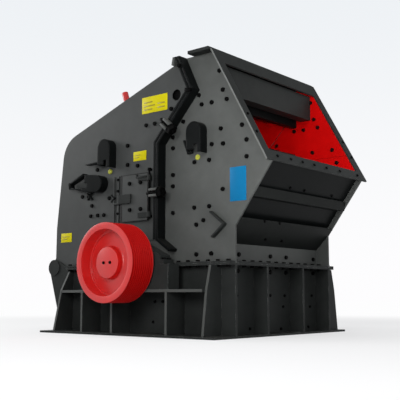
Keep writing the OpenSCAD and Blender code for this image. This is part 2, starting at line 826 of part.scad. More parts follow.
module hood(pivot, ang) {
    translate([pivot.x, -side_y, pivot.y])
        rotate([90, 0, 0])
            rotate([0, 0, ang])
                difference() {
                    linear_extrude(hood_d)
                        arch(0);
                    translate([0, 0, -1])
                        linear_extrude(hood_d - hood_t + 1)
                            arch(hood_t);
                    translate([-hood_w, -hood_h, -1])
                        cube([hood_w, hood_h / 2 + hood_step, hood_d + 2]);
                    translate([0, -hood_h, 0])
                        cube([notch_w, hood_h / 2 + notch_h, hood_d + 1]);
                }
}

module front_hoods() color("#1b1d1c") both_sides()
    hood(front_pivot, 0);

module rear_hoods() color("#1b1d1c") both_sides() {
    hood(upper_pivot, 0);
    hood(lower_pivot, -hood_turn);
}

// ---- rotor ----
pulley_face = pedestal_y + pulley_gap + pulley_w;

module rotor_shaft() color("#9a9c9b")
    bar_y(rotor_x, rotor_z, shaft_r, -pulley_face + hub_set + cap_t, pedestal_y + pulley_gap);

module bars(len) {
    translate([rotor_x, 0, rotor_z])
        for (k = [0:3])
            rotate([0, 45 + 90 * k, 0])
                translate([rotor_r - bar_h, -len / 2, -bar_t / 2])
                    cube([bar_h, len, bar_t]);
}

module rotor_body() color("#5a5552") difference() {
    bar_y(rotor_x, rotor_z, core_r, -rotor_w / 2, rotor_w / 2);
    bar_y(rotor_x, rotor_z, shaft_r + fit, -rotor_w, rotor_w);
    bars(rotor_w + 2);
}

module rotor_discs() color("#625d59") difference() {
    for (k = [0:disc_count - 1]) {
        y = on_line(-rotor_w / 2, rotor_w / 2 - disc_t, k / (disc_count - 1));
        bar_y(rotor_x, rotor_z, rotor_r - bar_out, y, y + disc_t);
    }
    bar_y(rotor_x, rotor_z, core_r + fit, -rotor_w, rotor_w);
    bars(rotor_w + 2);
}

module blow_bars() color("#6e6863")
    bars(rotor_w);

groove_edge = 0.04 * pulley_w;
groove_pitch = (pulley_w - 2 * groove_edge) / groove_count;
rim_in = pulley_r - rim_t;

// One groove, as shares of its depth and of its pitch.
groove = [[0, 0.15], [1, 0.35], [1, 0.65], [0, 0.85]];

module drive_pulley() color("#c8403c")
    translate([rotor_x, -pulley_face, rotor_z])
        rotate([-90, 0, 0])
            rotate_extrude($fn = round_fn)
                polygon(concat(
                    [[0, hub_set], [hub_r, hub_set], [hub_r, recess_d - dish],
                    [rim_in, recess_d], [rim_in, 0], [pulley_r, 0]],
                    [for (k = [0:groove_count - 1], q = groove)
                        [pulley_r - groove_d * q[0], groove_edge + groove_pitch * (k + q[1])]],
                    [[pulley_r, pulley_w], [rim_in, pulley_w], [rim_in, recess_d + web_t],
                    [hub_r, recess_d - dish + web_t], [hub_r, pulley_w],
                    [shaft_r + fit, pulley_w], [shaft_r + fit, hub_set + cap_t],
                    [0, hub_set + cap_t]]));

// ---- rear casing ----
door_front_x = rotor_x + door_x;
door_rear_x = door_front_x - door_w;
door_z = base_h + door_low_h;
door_top = door_z + door_h;

module rear_side_plates() color("#4c4e4d") {
    difference() {
        rear_side_plate();
        block(door_rear_x + door_lap, door_front_x - door_lap, -side_y - 1, -inner_y + 1,
            door_z + door_lap, door_top - door_lap);
    }
    mirror([0, 1, 0])
        rear_side_plate();
}

module rear_side_plate() difference() {
    union() {
        plate(rear_plate, -side_y, -inner_y);
        hinge_ear();
    }
    pivot_bore(upper_pivot);
    pivot_bore(lower_pivot);
    lift_bore();
    bar_y(hinge.x, hinge.y, pin_r + fit, -side_y - 1, -inner_y + 1);
}

module lift_bore() {
    bar_y(seam_top.x - lift_x, roof_z - lift_drop, lift_r, -side_y - 1, -liner_y + 1);
}

module rear_wall() color("#3a3c3b")
    plate(concat(part_of(shell_out, 0, split), turned(part_of(shell_in, 0, split))),
        -inner_y, inner_y);

module rear_roof() color("#3d3f3e") difference() {
    plate(concat(part_of(shell_out, split, split + 1), turned(roof_inside)),
        -inner_y, inner_y);
    for (y = [-tie_y, tie_y])
        tie_bar(y, tie_r + fit, 2 * wall_t, 2 * wall_t);
}

// The red lining behind the seam, above the door.
rear_liner_seam = seam_at(-seam_gap / 2 - free);
rear_liner_x = upper_pivot.x + apron_shaft_r + 2 * free;
rear_liner_low = door_top + 2 * door_lap;

module rear_liners() color("#a30a0a") both_sides() difference() {
    plate([[rear_liner_x, rear_liner_low],
        [rear_liner_x, z_at(roof_inside[0], roof_inside[1], rear_liner_x)],
        meet(part_of(rear_liner_seam, 0, 1), roof_inside), rear_liner_seam[1],
        rear_liner_seam[2], [rear_liner_seam[2].x, rear_liner_low]], -inner_y, -liner_y);
    lift_bore();
}

module rear_flange() color("#2f3130") {
    both_sides()
        block(base_rear_x - flange_t, rear_cheek[0].x - free, -flange_y, -side_y, rear_z,
            rear_z + flange_t);
    block(rear_toe_end.x + wall_inset, base_rear_x - free, -inner_y, inner_y, rear_z,
        rear_z + flange_t);
}

function foot_cut(p) = concat(part_of(p, 0, 2), [[p[3].x, rear_cheek[3].y]]);

module rear_seam_flange() color("#1f2121") both_sides()
    plate(concat(foot_cut(seam_at(-seam_gap / 2 - seam_flange_t)),
        turned(foot_cut(rear_seam))), -side_y - seam_flange_w, -side_y);

// ---- tie rods that hold back the front apron ----
roof_outside = part_of(shell_out, split, split + 1);
roof_up = left(unit(roof_outside[1] - roof_outside[0]));
tie_foot_x = upper_pivot.x + tie_x;
tie_foot = [tie_foot_x, z_at(roof_outside[0], roof_outside[1], tie_foot_x)];
apron_back = moved(apron_face(front_pivot, front_apron_ang), -apron_t);
tie_end = meet([tie_foot, tie_foot - roof_up], [apron_back[1], apron_back[2]]);
tie_depth = norm(tie_foot - tie_end) - tie_r - 2 * free;

// A bar square to the roof at y, from depth a below its face to height b above it.
module tie_bar(y, r, a, b) {
    translate([tie_foot.x, y, tie_foot.y])
        rotate([0, atan2(roof_up.x, roof_up.y), 0])
            translate([0, 0, -a])
                cylinder(h = a + b, r = r, $fn = round_fn);
}

module tie_rods() color("#b01414") for (y = [-tie_y, tie_y]) {
    tie_bar(y, tie_r, tie_depth, tie_top);
    tie_bar(y, tie_r + tie_collar, -seat, collar_t);
}

// ---- inspection door ----
rod_x = door_front_x + rod_out;
door_y = side_y + door_gap;
door_face = door_y + door_t;
rod_y = door_face + strap_t / 2;
strap_z = [door_z + strap_in, door_top - strap_in];
bracket_half = rod_r + bracket_wall;

module door_panel() color("#505251")
    block(door_rear_x, door_front_x, -door_face, -door_y, door_z, door_top);

module door_straps() color("#3c3e3d") for (z = strap_z) difference() {
    union() {
        block(rod_x - strap_l, rod_x, -door_face - strap_t, -door_face,
            z - strap_h / 2, z + strap_h / 2);
        translate([rod_x, -rod_y, z - strap_h / 2])
            cylinder(h = strap_h, r = rod_r + eye_wall, $fn = round_fn);
    }
    translate([rod_x, -rod_y, z - strap_h])
        cylinder(h = 2 * strap_h, r = rod_r + fit, $fn = round_fn);
}

module door_hinge_rod() color("#2a2c2b") {
    translate([rod_x, -rod_y, door_z - rod_over])
        cylinder(h = door_h + 2 * rod_over, r = rod_r, $fn = round_fn);
    for (z = [door_z - rod_over - bracket_h, door_top + rod_over])
        block(rod_x - bracket_half, rod_x + bracket_half, -rod_y - bracket_half, -side_y,
            z, z + bracket_h);
}

module door_rails() color("#3a3c3b") for (d = [rail_near, rail_far])
    block(door_rear_x - d, door_rear_x - d + rail_w, -side_y - rail_t, -side_y,
        door_z, door_top);

module door_latch() color("#3a3c3b")
    block(door_rear_x - latch_out, door_rear_x - latch_out + latch_l,
        -door_face - latch_t, -door_face, door_z + latch_up, door_z + latch_up + latch_h);

base_plate();
base_walls();
side_ribs();
end_ribs();
shelf_plates();
base_flange();
bearing_pedestals();
bearing_housings();
shaft_cheeks();
hinge_brackets();
hinge_pins();
front_side_plates();
front_wall();
front_strip();
front_ledges();
front_flange();
front_roof();
roof_flange();
feed_frame();
feed_liners();
feed_beam();
curtain_beam();
front_seam_flange();
front_apron();
front_hoods();
rotor_shaft();
rotor_body();
rotor_discs();
blow_bars();
drive_pulley();
rear_side_plates();
rear_wall();
rear_roof();
rear_liners();
rear_flange();
rear_seam_flange();
upper_apron();
lower_apron();
rear_hoods();
tie_rods();
door_rails();
door_hinge_rod();
door_panel();
door_straps();
door_latch();
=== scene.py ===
import bmesh
import bpy
import json
import math
from mathutils import Matrix, Vector


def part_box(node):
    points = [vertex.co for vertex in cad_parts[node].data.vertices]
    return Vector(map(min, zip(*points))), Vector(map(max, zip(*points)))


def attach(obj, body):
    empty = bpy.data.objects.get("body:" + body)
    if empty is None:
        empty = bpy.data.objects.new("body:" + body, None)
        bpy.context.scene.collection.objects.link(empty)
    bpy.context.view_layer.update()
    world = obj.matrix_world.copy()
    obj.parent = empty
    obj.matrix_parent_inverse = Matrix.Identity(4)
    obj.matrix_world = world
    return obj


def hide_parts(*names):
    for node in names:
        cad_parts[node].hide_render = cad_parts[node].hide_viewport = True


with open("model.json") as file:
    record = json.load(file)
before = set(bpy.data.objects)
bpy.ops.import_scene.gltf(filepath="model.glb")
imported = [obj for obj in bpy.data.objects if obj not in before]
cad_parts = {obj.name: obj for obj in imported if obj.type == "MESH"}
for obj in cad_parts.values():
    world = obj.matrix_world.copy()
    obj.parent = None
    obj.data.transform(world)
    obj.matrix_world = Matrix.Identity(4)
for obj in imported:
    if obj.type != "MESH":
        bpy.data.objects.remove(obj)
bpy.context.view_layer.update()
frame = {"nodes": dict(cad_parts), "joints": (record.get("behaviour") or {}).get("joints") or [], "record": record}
nodes = frame["nodes"]
mounts = {mount["name"]: mount for mount in frame["record"]["mounts"]}
joints = {joint["name"]: joint for joint in frame["joints"]}
print("frame loaded:", len(nodes), "nodes")


# shader sums
class Value:  # a socket that sums can be written with
    def __init__(self, graph, socket):
        self.graph, self.socket = graph, socket

    def maths(self, operation, first, second):
        return self.graph.node("ShaderNodeMath", {"operation": operation}, {0: first, 1: second})

    def __add__(self, other):
        return self.maths("ADD", self, other)

    def __mul__(self, other):
        return self.maths("MULTIPLY", self, other)

    def __sub__(self, other):
        return self.maths("SUBTRACT", self, other)

    def __rsub__(self, other):
        return self.maths("SUBTRACT", other, self)

    __radd__ = __add__
    __rmul__ = __mul__

    def ramp(self, low, high, start=0.0, end=1.0):  # a smooth step from low to high
        return self.graph.node("ShaderNodeMapRange", {"interpolation_type": "SMOOTHSTEP"},
                               {"Value": self, "From Min": low, "From Max": high,
                                "To Min": start, "To Max": end})


class Graph:  # the nodes of a material or of the world
    def __init__(self, owner, coordinates="Object"):
        owner.use_nodes = True
        self.owner, self.tree = owner, owner.node_tree
        self.tree.nodes.clear()
        self.place = self.node("ShaderNodeTexCoord", {}, {}, coordinates)

    def node(self, kind, settings, sockets, out=0):
        made = self.tree.nodes.new(kind)
        for key, value in settings.items():
            setattr(made, key, value)
        for key, value in sockets.items():
            self.feed(made.inputs[key], value)
        return None if out is None else Value(self, made.outputs[out])

    def feed(self, socket, value):
        if isinstance(value, Value):
            self.tree.links.new(value.socket, socket)
        else:
            socket.default_value = value

    def noise(self, scale, detail, roughness=0.55, stretch=(1, 1, 1)):
        spread = self.node("ShaderNodeMapping", {}, {"Vector": self.place, "Scale": stretch})
        return self.node("ShaderNodeTexNoise", {"noise_dimensions": "3D"},
                         {"Vector": spread, "Scale": scale, "Detail": detail,
                          "Roughness": roughness})

    def mix(self, factor, first, second):
        return self.node("ShaderNodeMix", {"data_type": "RGBA", "blend_type": "MIX"},
                         {"Factor": factor, 6: first, 7: second}, 2)

    def edge(self, radius):  # 1 along outer edges and corners, 0 on flat faces
        rounded = self.node("ShaderNodeBevel", {"samples": 6}, {"Radius": radius})
        flat = self.node("ShaderNodeNewGeometry", {}, {}, "Normal")
        straight = self.node("ShaderNodeVectorMath", {"operation": "DOT_PRODUCT"},
                             {0: rounded, 1: flat}, "Value")
        return (1.0 - straight).ramp(0.02, 0.25)

    def facing(self, axis):  # how far a face looks along X, Y or Z
        flat = self.node("ShaderNodeNewGeometry", {}, {}, "Normal")
        return self.node("ShaderNodeSeparateXYZ", {}, {0: flat}, axis)

    def along(self, axis):  # how far a point lies along X, Y or Z
        return self.node("ShaderNodeSeparateXYZ", {}, {0: self.place}, axis)

    def bump(self, height, distance, strength, normal=None):
        sockets = {"Height": height, "Distance": distance, "Strength": strength}
        if normal:
            sockets["Normal"] = normal
        return self.node("ShaderNodeBump", {}, sockets)

    def surface(self, sockets):
        shader = self.node("ShaderNodeBsdfPrincipled", {}, sockets)
        self.node("ShaderNodeOutputMaterial", {}, {"Surface": shader}, None)
        return self.owner


def hexColour(text):  # a written sRGB colour as linear numbers
    parts = [int(text[i:i + 2], 16) / 255 for i in (0, 2, 4)]
    return tuple(c / 12.92 if c <= 0.04045 else ((c + 0.055) / 1.055) ** 2.4
                 for c in parts) + (1.0,)


# finishes
enamel = {  # noises by scale, detail, roughness and stretch, and the steps made from them
    "broad": (1.1, 4.0), "cloudy": (7.0, 5.0, 0.6), "peel": (260.0, 2.0),
    "lying": (5.0, 6.0, 0.65), "scratches": (22.0, 7.0, 0.72, (1, 1, 0.5)),
    "broadShare": 0.6, "cloudyShare": 0.4, "patches": (0.36, 0.66),
    "upward": (0.35, 0.95), "dusty": (0.36, 0.70), "dustTone": "8b857b", "dustRough": 0.35,
    "scratched": (0.46, 0.62), "wearReach": 1.6, "wearMost": 0.006, "wornRough": 0.12,
    "sideHighlightRamp": (0.60, 0.80), "cloudRough": 0.10, "roughLess": 0.05,
    "waves": (0.004, 0.35), "orangePeel": (0.0005, 0.30)}


def paint(name, look):  # sprayed satin enamel on steel plate
    graph = Graph(bpy.data.materials.new(name))
    broad = graph.noise(*enamel["broad"])
    cloudy = graph.noise(*enamel["cloudy"])
    peel = graph.noise(*enamel["peel"])
    patches = broad * enamel["broadShare"] + cloudy * enamel["cloudyShare"]
    colour = graph.mix(patches.ramp(*enamel["patches"]), hexColour(look["shade"]),
                       hexColour(look["colour"]))
    lying = graph.noise(*enamel["lying"]).ramp(*enamel["dusty"])
    dust = graph.facing("Z").ramp(*enamel["upward"]) * lying * look["dust"]
    colour = graph.mix(dust, colour, hexColour(enamel["dustTone"]))
    # edges lighten to the bare tone: worn paint, and where the wear is high also a painted highlight
    scratched = graph.noise(*enamel["scratches"]).ramp(*enamel["scratched"])
    reach = min(look["edge"] * enamel["wearReach"], enamel["wearMost"])
    edgeWearAndHighlight = graph.edge(reach) * scratched * look["wear"]
    colour = graph.mix(edgeWearAndHighlight, colour, hexColour(look["bare"]))
    if "cut" in look:  # painted highlight: a lighter tone on the plate edges that look out to the sides
        sideHighlightMask = (graph.along("Y") * graph.facing("Y")).ramp(*enamel["sideHighlightRamp"])
        colour = graph.mix(sideHighlightMask, colour, hexColour(look["cut"]))
    rough = dust * enamel["dustRough"] - edgeWearAndHighlight * enamel["wornRough"]
    rough = rough + (cloudy * enamel["cloudRough"] + (look["roughness"] - enamel["roughLess"]))
    rounded = graph.node("ShaderNodeBevel", {"samples": 4}, {"Radius": look["edge"]})
    waves = graph.bump(broad, *enamel["waves"], rounded)
    normal = graph.bump(peel, *enamel["orangePeel"], waves)
    return graph.surface({"Base Color": colour, "Roughness": rough, "Normal": normal,
                          "Specular IOR Level": look["gloss"]})


def castIron(name, look):  # raw casting, dark and pitted
    graph = Graph(bpy.data.materials.new(name))
    patches = graph.noise(*look["broad"]).ramp(*look["patches"])
    pits = graph.noise(*look["pits"])
    colour = graph.mix(patches, hexColour(look["shade"]), hexColour(look["colour"]))
    stain = graph.noise(*look["stains"]).ramp(*look["stained"]) * look["rust"]
    colour = graph.mix(stain, colour, hexColour(look["rustTone"]))
    normal = graph.bump(pits, *look["pitting"])
    return graph.surface({"Base Color": colour, "Metallic": look["metal"], "Normal": normal,
                          "Roughness": pits * look["pitRough"] + look["roughness"]})


def bareSteel(name, look):  # turned or ground steel
    graph = Graph(bpy.data.materials.new(name))
    lines = graph.noise(*look["lines"])
    film = graph.noise(*look["film"]).ramp(*look["filmed"])
    colour = graph.mix(film, hexColour(look["shade"]), hexColour(look["colour"]))
    normal = graph.bump(lines, *look["lining"])
    return graph.surface({"Base Color": colour, "Metallic": 1.0, "Normal": normal,
                          "Roughness": lines * look["lineRough"] + look["roughness"]})


paints = {  # edge is the rounding of corners in metres
    "casingGrey": {"colour": "555755", "shade": "4c4e4c", "bare": "8d8f8d", "gloss": 0.15,
                   "roughness": 0.46, "dust": 0.15, "wear": 0.35, "edge": 0.004},
    # painted shade: the rear housing takes a darker copy of the casing grey
    "housingShadedGrey": {"colour": "444645", "shade": "3c3e3d", "bare": "858785", "gloss": 0.15,
                    "roughness": 0.46, "dust": 0.15, "wear": 0.35, "edge": 0.004},
    "frameDark": {"colour": "303231", "shade": "282a29", "bare": "7d7f7d", "gloss": 0.06,
                  "roughness": 0.44, "dust": 0.06, "wear": 0.45, "edge": 0.004},
    # rimDark and ribBlack carry a painted highlight on the plate edges that look out to the sides
    "rimDark": {"colour": "303231", "shade": "282a29", "bare": "7d7f7d", "gloss": 0.06,
                "roughness": 0.44, "dust": 0.06, "wear": 0.45, "edge": 0.004, "cut": "6c6e6c"},
    # ribBlack and baseBlack wear their edges hard: partly worn paint, partly painted highlight on rib and shelf
    # edges
    "ribBlack": {"colour": "303231", "shade": "282a29", "bare": "8d8f8d", "gloss": 0.06,
                 "roughness": 0.42, "dust": 0.12, "wear": 0.85, "edge": 0.004, "cut": "525452"},
    "baseBlack": {"colour": "303231", "shade": "282a29", "bare": "8d8f8d", "gloss": 0.06,
                  "roughness": 0.42, "dust": 0.12, "wear": 0.85, "edge": 0.004},
    "hoodBlack": {"colour": "121414", "shade": "0e1010", "bare": "6b6d6d", "gloss": 0.04,
                  "roughness": 0.34, "dust": 0.05, "wear": 0.25, "edge": 0.020},
    "ledgeBlack": {"colour": "202221", "shade": "1a1c1b", "bare": "6b6d6d", "gloss": 0.04,
                   "roughness": 0.40, "dust": 0.05, "wear": 0.25, "edge": 0.004},
    "linerRed": {"colour": "d00606", "shade": "bc0404", "bare": "7a4a44", "gloss": 0.06,
                 "roughness": 0.50, "dust": 0.05, "wear": 0.25, "edge": 0.003},
    "pulleyRed": {"colour": "d01814", "shade": "c41210", "bare": "d88a84", "gloss": 0.80,
                  "roughness": 0.36, "dust": 0.04, "wear": 0.20, "edge": 0.003},
    # painted shade: the grooved belt face takes a darker copy of the pulley red
    "shadedBeltRed": {"colour": "ba0a08", "shade": "ae0807", "bare": "c87a74", "gloss": 0.08,
                "roughness": 0.50, "dust": 0.02, "wear": 0.15, "edge": 0.002},
    "boltBlack": {"colour": "080808", "shade": "050505", "bare": "55585a", "gloss": 0.03,
                  "roughness": 0.38, "dust": 0.01, "wear": 0.10, "edge": 0.002},
    "labelYellow": {"colour": "dcd012", "shade": "d0c40e", "bare": "8a8450", "gloss": 0.10,
                    "roughness": 0.40, "dust": 0.08, "wear": 0.30, "edge": 0.001},
    "capYellow": {"colour": "b0b242", "shade": "a2a43a", "bare": "8a8450", "gloss": 0.20,
                  "roughness": 0.40, "dust": 0.05, "wear": 0.20, "edge": 0.002},
    "labelMark": {"colour": "a89a14", "shade": "988a10", "bare": "8a8450", "gloss": 0.50,
                  "roughness": 0.40, "dust": 0.08, "wear": 0.20, "edge": 0.001},
    "labelBlue": {"colour": "0b70a2", "shade": "096694", "bare": "6a8a9a", "gloss": 0.10,
                  "roughness": 0.40, "dust": 0.08, "wear": 0.30, "edge": 0.001},
    "liningBolt": {"colour": "1a0606", "shade": "140505", "bare": "7a4a44", "gloss": 0.08,
                   "roughness": 0.45, "dust": 0.05, "wear": 0.40, "edge": 0.002},
    "curtainRubber": {"colour": "0c0c0c", "shade": "090909", "bare": "3a3b3b", "gloss": 0.50,
                      "roughness": 0.75, "dust": 0.05, "wear": 0.00, "edge": 0.003},
}
castLook = {"colour": "3a3634", "shade": "2a2624", "roughness": 0.55, "metal": 0.4,
            "broad": (2.4, 5.0), "patches": (0.38, 0.64), "pits": (60.0, 6.0, 0.7),
            "pitting": (0.0015, 0.6), "pitRough": 0.25, "stains": (6.0, 7.0, 0.7),
            "stained": (0.55, 0.75), "rust": 0.5, "rustTone": "5c3826"}
steelLook = {"colour": "a5a7a8", "shade": "8b8d8e", "roughness": 0.26,
             "lines": (90.0, 4.0, 0.6, (1, 12, 1)), "lining": (0.0003, 0.35), "lineRough": 0.15,
             "film": (8.0, 5.0), "filmed": (0.4, 0.65)}
finishes = {name: paint(name, look) for name, look in paints.items()}
finishes["castDark"] = castIron("castDark", castLook)
finishes["machinedSteel"] = bareSteel("machinedSteel", steelLook)

nodeFinish = {
    "casingGrey": "front_side_plates shaft_cheeks front_strip",
    "housingShadedGrey": "rear_side_plates door_panel door_rails",
    "frameDark": """front_roof roof_flange feed_beam bearing_housings hinge_brackets
        door_straps door_latch rear_roof rear_wall""",
    "rimDark": "feed_frame",
    "baseBlack": """base_plate base_walls end_ribs bearing_pedestals base_flange front_flange
        rear_flange""",
    "ribBlack": "side_ribs shelf_plates",
    # front_wall and the seam flanges take the black hood paint as painted shade on faces turned from the light
    "hoodBlack": """front_hoods rear_hoods front_seam_flange rear_seam_flange curtain_beam
        front_wall""",
    "ledgeBlack": "front_ledges",
    "linerRed": "feed_liners rear_liners",
    "pulleyRed": "drive_pulley tie_rods",
    "castDark": "rotor_body rotor_discs blow_bars front_apron upper_apron lower_apron",
    "machinedSteel": "rotor_shaft hinge_pins",
}
for finish, names in nodeFinish.items():
    for name in names.split():
        nodes[name].data.materials.clear()
        nodes[name].data.materials.append(finishes[finish])
print("finishes set:", len(finishes))


# pieces
bolts = {"finish": "boltBlack", "slot": "bolt_black"}
greyPlate = {"finish": "casingGrey", "slot": "casing_grey"}
darkPlate = {"finish": "frameDark", "slot": "frame_dark"}
blackHood = {"finish": "hoodBlack", "slot": "hood_black"}
redLining = {"finish": "linerRed", "slot": "liner_red"}
redBolts = {"finish": "liningBolt", "slot": "liner_red"}


def smoothed(mesh):  # rounds shade smooth, corners stay sharp
    mesh.shade_smooth()
    mesh.set_sharp_from_angle(angle=math.radians(32))


def keep(name, shape, look, body):  # a finished shape becomes a piece that rides on its body
    mesh = bpy.data.meshes.new(name)
    shape.to_mesh(mesh)
    shape.free()
    mesh.materials.append(finishes[look["finish"]])
    smoothed(mesh)
    made = bpy.data.objects.new(name, mesh)
    bpy.context.scene.collection.objects.link(made)
    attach(made, body)
    return made


def pattern(name, shape):  # a shape that is kept to be copied
    bmesh.ops.remove_doubles(shape, verts=shape.verts, dist=1e-5)
    bmesh.ops.recalc_face_normals(shape, faces=shape.faces)
    mesh = bpy.data.meshes.new(name)
    shape.to_mesh(mesh)
    shape.free()
    return mesh


def copies(name, mesh, places, look, body):  # one piece of copies of a pattern
    joined = bmesh.new()
    for place in places:
        first = len(joined.verts)
        joined.from_mesh(mesh)
        joined.verts.ensure_lookup_table()
        bmesh.ops.transform(joined, matrix=place, verts=joined.verts[first:])
    return keep(name, joined, look, body)


def standing(at, axis, turn=0.0):  # what is drawn along Z stands at a place, along an axis
    aimed = Vector(axis).to_track_quat("Z", "Y").to_matrix().to_4x4()
    return Matrix.Translation(Vector(at)) @ aimed @ Matrix.Rotation(turn, 4, "Z")


def bar(shape, low, high, soften, place=Matrix()):  # a bar or plate with rounded edges
    made = bmesh.ops.create_cube(shape, size=1.0)["verts"]
    bmesh.ops.scale(shape, vec=Vector(high) - Vector(low), verts=made)
    bmesh.ops.translate(shape, vec=(Vector(low) + Vector(high)) / 2, verts=made)
    bmesh.ops.transform(shape, matrix=place, verts=made)
    rims = list({edge for vert in made for edge in vert.link_edges})
    bmesh.ops.bevel(shape, geom=rims, offset=soften, offset_type="OFFSET", segments=2,
                    profile=0.5, affect="EDGES", clamp_overlap=True, material=-1)


def turnedPattern(name, outline, steps, soften=0.0):  # radii and heights, spun round Z
    shape = bmesh.new()
    ring = [shape.verts.new((radius, 0.0, height)) for radius, height in outline]
    for first, second in zip(ring, ring[1:]):
        shape.edges.new((first, second))
    if soften:
        shape.edges.new((ring[-1], ring[0]))
        shape.faces.new(ring)
        inner = [vert for vert in ring if vert.co.x > 1e-4]
        bmesh.ops.bevel(shape, geom=inner, offset=soften, offset_type="OFFSET", segments=2,
                        profile=0.5, affect="VERTICES", clamp_overlap=True, material=-1)
        bmesh.ops.delete(shape, geom=list(shape.faces), context="FACES_ONLY")
        axis = [edge for edge in shape.edges if all(abs(vert.co.x) < 1e-4 for vert in edge.verts)]
        bmesh.ops.delete(shape, geom=axis, context="EDGES")
    bmesh.ops.spin(shape, geom=list(shape.verts) + list(shape.edges), cent=(0, 0, 0),
                   axis=(0, 0, 1), dvec=(0, 0, 0), angle=2 * math.pi, steps=steps, use_merge=True)
    return pattern(name, shape)


def hexBolt(name, size):  # hex head on a washer, seated at height 0
    shape = bmesh.new()
    seat, head = size["seat"], size["head"]
    corner = size["across"] / math.sqrt(3)
    bmesh.ops.create_cone(shape, cap_ends=True, segments=16, radius1=size["washer"],
                          radius2=size["washer"] * 0.97, depth=seat,
                          matrix=Matrix.Translation((0, 0, seat / 2)))
    made = bmesh.ops.create_cone(shape, cap_ends=True, segments=6, radius1=corner,
                                 radius2=corner, depth=head,
                                 matrix=Matrix.Translation((0, 0, seat + head / 2)))
    top = max(vert.co.z for vert in made["verts"])
    rims = [edge for edge in shape.edges if all(vert.co.z > top - 1e-6 for vert in edge.verts)]
    bmesh.ops.bevel(shape, geom=rims, offset=head * 0.18, offset_type="OFFSET", segments=1,
                    profile=0.5, affect="EDGES", clamp_overlap=True, material=-1)
    return pattern(name, shape)


plateBolt = hexBolt("plateBolt", {"across": 0.036, "head": 0.015, "washer": 0.021, "seat": 0.003})
flangeBolt = hexBolt("flangeBolt", {"across": 0.036, "head": 0.015, "washer": 0.022, "seat": 0.003})
smallBolt = hexBolt("smallBolt", {"across": 0.024, "head": 0.010, "washer": 0.015, "seat": 0.002})


def bounds(name):  # the lowest and highest corner of a node
    low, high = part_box(name)
    return Vector(low), Vector(high)


# how far each bolt head is turned on from the one before, in radians
headTurn = {"wall": 0.7, "lining": 0.5, "flange": 0.4, "cross": 0.5, "nut": 0.6, "front": 0.8,
            "frame": 0.5, "door": 0.6}


def bothSides(spots, wall):  # the same places, in millimetres, outside both side walls
    return [standing((x / 1000, side * wall, z / 1000), (0, side, 0), headTurn["wall"] * i)
            for side in (-1, 1) for i, (x, z) in enumerate(spots)]


def aheadOf(spots):  # places on walls that look to the feed side, y and z in millimetres
    return [standing((x, y / 1000, z / 1000), (1, 0, 0), headTurn["front"] * i)
            for i, (x, y, z) in enumerate(spots)]


# bolts of the casing, by x and z in millimetres
sideWall = -bounds("front_side_plates")[0].y
linerWall = bounds("curtain_beam")[1].y
liningBolts = [(989, 2448), (1030, 2260), (743, 2256), (1075, 2165), (898, 2162), (777, 2161),
               (547, 2030), (1247, 1900), (1005, 1899), (416, 1893), (1297, 1758), (1030, 1756),
               (897, 1766), (417, 1786), (1296, 1606), (866, 1622), (688, 1620), (419, 1525),
               (419, 1416)]
plateBolts = [(1024, 1336), (866, 1191), (686, 1191), (421, 1159), (796, 1066), (711, 1030),
              (889, 757), (712, 754)]
housingBolts = [(391, 2180), (173, 2064), (262, 2044), (57, 2063), (-201, 1888), (-198, 1691),
                (-58, 1668), (-647, 1687), (-721, 1312), (-538, 1203), (-631, 1205), (-736, 1204),
                (-871, 1419), (-776, 1411)]
mouthStart = 500  # bolts beyond this x go through to the lining of the mouth
copies("casingBolts", plateBolt, bothSides(liningBolts + plateBolts, sideWall), bolts, "root")
copies("housingBolts", plateBolt, bothSides(housingBolts, sideWall), bolts, "rear_housing")
copies("liningBolts", plateBolt,
       [standing((x / 1000, side * linerWall, z / 1000), (0, -side, 0), headTurn["lining"] * i)
        for side in (-1, 1) for i, (x, z) in enumerate(liningBolts) if x > mouthStart],
       redBolts, "root")

# rows of bolts in the flange between casing and base
flange = {"inset": 0.045, "sideGap": 0.118, "sideCount": 6, "rearStart": -1.005,
          "crossGap": 0.130, "crossCount": 12}
flangeHigh = bounds("front_flange")[1]
rearTop = bounds("rear_flange")[1].z
baseTop = bounds("base_flange")[0].z
stripFront = bounds("front_strip")[1].x
middle = (flangeHigh.y + sideWall) / 2
crossX = (stripFront + flangeHigh.x) / 2
frontRow = [flangeHigh.x - flange["inset"] - i * flange["sideGap"]
            for i in range(flange["sideCount"])]
rearRow = [flange["rearStart"] + i * flange["sideGap"] for i in range(flange["sideCount"])]
crossRow = [(i - (flange["crossCount"] - 1) / 2) * flange["crossGap"]
            for i in range(flange["crossCount"])]


def alongFlange(row, height, way, turn):  # places along both sides of the flange
    return [standing((x, side * middle, height), (0, 0, way), turn * i)
            for side in (-1, 1) for i, x in enumerate(row)]


def acrossFlange(height, way):  # places across its feed end
    return [standing((crossX, y, height), (0, 0, way), headTurn["cross"] * i)
            for i, y in enumerate(crossRow)]


copies("frontFlangeBolts", flangeBolt,
       alongFlange(frontRow, flangeHigh.z, 1, headTurn["flange"]) + acrossFlange(flangeHigh.z, 1),
       bolts, "root")
copies("rearFlangeBolts", flangeBolt, alongFlange(rearRow, rearTop, 1, headTurn["flange"]),
       bolts, "rear_housing")
copies("flangeNuts", flangeBolt,
       alongFlange(frontRow + rearRow, baseTop, -1, headTurn["nut"]) + acrossFlange(baseTop, -1),
       bolts, "root")

